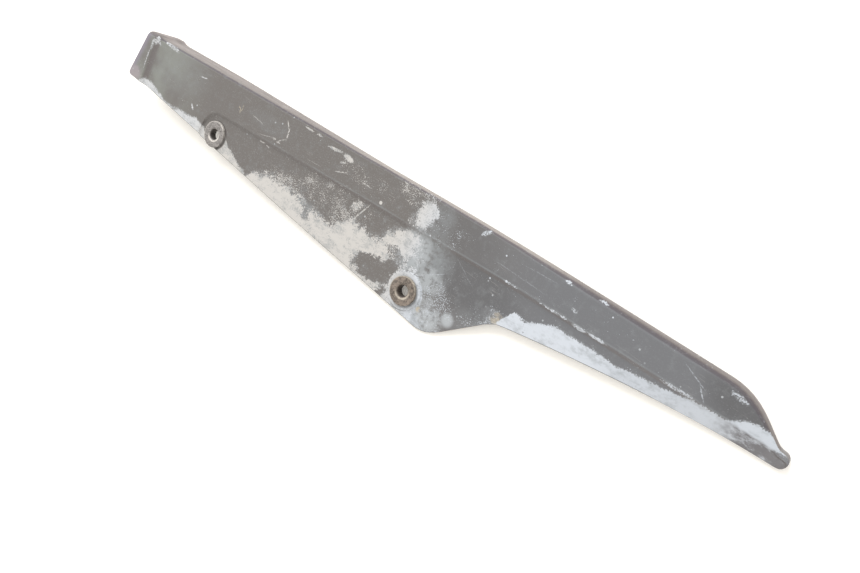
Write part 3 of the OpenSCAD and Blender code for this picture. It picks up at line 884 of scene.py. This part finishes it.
tail_dirt = times(tree, fade(tree, u, 181, 200), fade(tree, v, 41.5, 39.8))
tail_dirt = times(tree, tail_dirt, fade(tree, stain, 0.3, 0.56))
colour = blend(tree, tail_dirt, colour, TAIL_DIRT)
colour = blend(tree, ovals(tree, place, PAINTED_COLLAR_SHADOWS, 0.06), colour, GRIME_AND_SHADE)
# Surfaces facing down the face, the lower edge's wall above all, are darkened to a thin line.
colour = blend(tree, times(tree, faces(-v_axis, 0.5, 0.8), 0.9), colour, GRIME_AND_SHADE)
tan_share = times(tree, ovals(tree, torn, TAN_SPOTS, 0.5), fade(tree, stain, 0.35, 0.6))
colour = blend(tree, tan_share, colour, TAN)
hidden = times(tree, maths(tree, "SUBTRACT", 1.0, outer), maths(tree, "SUBTRACT", 1.0, flange))
colour = blend(tree, times(tree, hidden, fade(tree, cloudy, 0.3, 0.8)), colour, GRIME_AND_SHADE)
tree.links.new(colour, surface.inputs["Base Color"])
print("the shell's colours use", len(tree.nodes), "nodes")

# %% [markdown]
# ## Relief and gloss of the shell
# Paint has a thickness, and light catches its broken edge, so the height drops by that much
# where the shell is bare. A fine grain and slow waves keep the face from looking machined. The
# bare plastic is duller than the paint, and so is the corner to the flange.

# %% Give the shell relief and gloss
PAINT_STEP = 0.55            # the paint's thickness as a share of the relief
RELIEF = 0.12                # mm

grain = noise(tree, place, 0.5, 3.0, 0.6, seed=5.0)
waves = noise(tree, place, 14.0, 2.0, 0.5, seed=9.0)
height = times(tree, bare, -PAINT_STEP)
height = maths(tree, "ADD", height, times(tree, grain, 0.22))
height = maths(tree, "ADD", height, times(tree, waves, 0.9))
height = maths(tree, "SUBTRACT", height, times(tree, scratched, 0.15))
relief = node(tree, "ShaderNodeBump", {"Height": height, "Strength": 0.7, "Distance": RELIEF * MM})
tree.links.new(relief.outputs[0], surface.inputs["Normal"])
gloss = maths(tree, "ADD", 0.44, times(tree, bare, 0.16))
gloss = maths(tree, "ADD", gloss, times(tree, cloudy, 0.12))
gloss = maths(tree, "ADD", gloss, times(tree, rounding, 0.3))
tree.links.new(gloss, surface.inputs["Roughness"])
shell.data.materials.append(paint)
print("paint stands", RELIEF * PAINT_STEP, "mm over the bare plastic")

# %% [markdown]
# ## Two steels
# The front collar is scratched grey steel, worn on its rims, where the paint and the zinc have
# gone. The rear one is brown with rust all over. On both, painted highlights brighten the upper
# side of the flange's rim and the lower side of the mouth, and painted shade darkens the bore.
# Both are built by the same function: radius from the collar's own axis gives the rims and the
# bore, and flakes give the patches of rust or zinc.

# %% Dress the collars
UP_THE_PICTURE = (-0.5, 0.86, 0)   # the way on the face that is up in the picture
STEEL_RELIEF = 0.25          # mm
# Distances from the axis in mm, from where a zone starts to where it is full
FLANGE_RIM = (8.3, 8.75)
MOUTH_OUTSIDE = (5.6, 5.0)
MOUTH_INSIDE = (4.0, 4.5)
IN_BORE = (4.1, 3.6)


def steel(material, middle, colours, metal, rough, coat):
    """Turned steel by radius: ground, patches, mottle, painted rim highlights, painted bore shade.
    """
    # rim is the colour of the painted highlights; dark serves the mottle and the painted bore
    # shade.
    ground, patch, rim, dark = colours
    material.use_nodes = True
    tree = material.node_tree
    surface = tree.nodes["Principled BSDF"]
    place = face_place(tree)[0]
    own = node(tree, "ShaderNodeVectorMath", {0: place, 1: middle},
               operation="SUBTRACT").outputs[0]
    flat = node(tree, "ShaderNodeVectorMath", {0: own, 1: (1, 1, 0)},
                operation="MULTIPLY").outputs[0]
    radius = node(tree, "ShaderNodeVectorMath", {0: flat}, operation="LENGTH").outputs["Value"]
    patches = flakes(tree, place, coat, size=2.6, amount=1.6, specks=0.7)
    colour = blend(tree, times(tree, patches, 0.75), ground, patch)
    mottle = noise(tree, place, 1.1, 5.0, 0.65, seed=3.0)
    colour = blend(tree, times(tree, fade(tree, mottle, 0.5, 0.64), 0.75), colour, dark)
    # Painted highlights: the flange rim's upper side and the mouth's lower side.
    outer_rim_highlight = fade(tree, radius, *FLANGE_RIM)
    outer_rim_highlight = times(tree, outer_rim_highlight, fade(tree, along(tree, own, UP_THE_PICTURE), -6, 3))
    mouth_highlight = times(tree, fade(tree, radius, *MOUTH_OUTSIDE), fade(tree, radius, *MOUTH_INSIDE))
    mouth_highlight = times(tree, mouth_highlight, fade(tree, along(tree, own, UP_THE_PICTURE), 3, -3))
    rim_highlights = maths(tree, "MAXIMUM", times(tree, outer_rim_highlight, 0.8), mouth_highlight)
    rim_highlights = times(tree, rim_highlights, fade(tree, mottle, 0.3, 0.6))
    colour = blend(tree, rim_highlights, colour, rim)
    # Painted shade inside the bore.
    bore_shade = fade(tree, radius, *IN_BORE)
    colour = blend(tree, times(tree, bore_shade, 0.85), colour, dark)
    tree.links.new(colour, surface.inputs["Base Color"])
    marks = scratches(tree, own, turn=35.0, width=0.16, amount=1.0)
    height = maths(tree, "SUBTRACT", mottle, times(tree, marks, 0.5))
    relief = node(tree, "ShaderNodeBump",
                  {"Height": height, "Strength": 0.8, "Distance": STEEL_RELIEF * MM})
    tree.links.new(relief.outputs[0], surface.inputs["Normal"])
    gloss = maths(tree, "ADD", rough, times(tree, mottle, 0.25))
    tree.links.new(gloss, surface.inputs["Roughness"])
    surface.inputs["Metallic"].default_value = metal


# Each: ground, patches, painted rim highlight, and dark for mottle and painted bore shade.
FRONT_TONES = [tone(132, 128, 125), tone(160, 155, 152), tone(222, 216, 208), tone(70, 65, 61)]
REAR_TONES = [tone(103, 95, 87), tone(146, 133, 122), tone(180, 172, 158), tone(62, 55, 50)]
steel(front_steel, (FRONT_U, FRONT_V, 0), FRONT_TONES, metal=0.35, rough=0.38, coat=0.5)
steel(rear_steel, (0, 0, 0), REAR_TONES, metal=0.15, rough=0.5, coat=0.5)
print("steel finishes:", front_steel.name, rear_steel.name)

# %% [markdown]
# ## Table and light
# The table is plain and nearly white. The light is soft and comes mostly from beyond the
# flange and the lip, which is why the collars' small shadows fall to the lower right. A bright
# world fills the rest and the table glows a little, so the picture stays high in key and the
# shadows stay faint.

# %% Set the table and the lights
TABLE_REACH = 3.0
LIGHTS = [("key", (-0.7, 1.1, 1.05), 1.2, 30.0, (0.96, 0.98, 1.0)),
          ("fill", (0.6, -1.1, 0.6), 1.0, 5.0, (1.0, 0.97, 0.93))]

corners = [(x * TABLE_REACH, y * TABLE_REACH, 0) for x, y in [(-1, -1), (1, -1), (1, 1), (-1, 1)]]
table_mesh = bpy.data.meshes.new("table_top")
table_mesh.from_pydata(corners, [], [(0, 1, 2, 3)])
table = bpy.data.objects.new("table_top", table_mesh)
bpy.context.collection.objects.link(table)
table_white = bpy.data.materials.new("table_white")
table_white.use_nodes = True
top = table_white.node_tree.nodes["Principled BSDF"]
top.inputs["Base Color"].default_value = (0.92, 0.90, 0.86, 1)
top.inputs["Roughness"].default_value = 0.6
top.inputs["Emission Color"].default_value = (1.0, 0.97, 0.91, 1)
top.inputs["Emission Strength"].default_value = 0.15
table_mesh.materials.append(table_white)

scene = bpy.context.scene
scene.view_settings.view_transform = "Standard"
scene.world = bpy.data.worlds.new("studio")
scene.world.use_nodes = True
sky = scene.world.node_tree.nodes["Background"]
sky.inputs["Color"].default_value = (1.0, 0.98, 0.95, 1)
sky.inputs["Strength"].default_value = 0.95
for name, spot, size, power, colour in LIGHTS:
    lamp = bpy.data.objects.new(name, bpy.data.lights.new(name, "AREA"))
    lamp.data.color = colour
    lamp.data.energy = power
    lamp.data.size = size
    aim = Vector(spot).to_track_quat("Z", "Y").to_matrix().to_4x4()
    lamp.matrix_world = Matrix.Translation(spot) @ aim
    bpy.context.collection.objects.link(lamp)
print("lights:", [light[0] for light in LIGHTS])
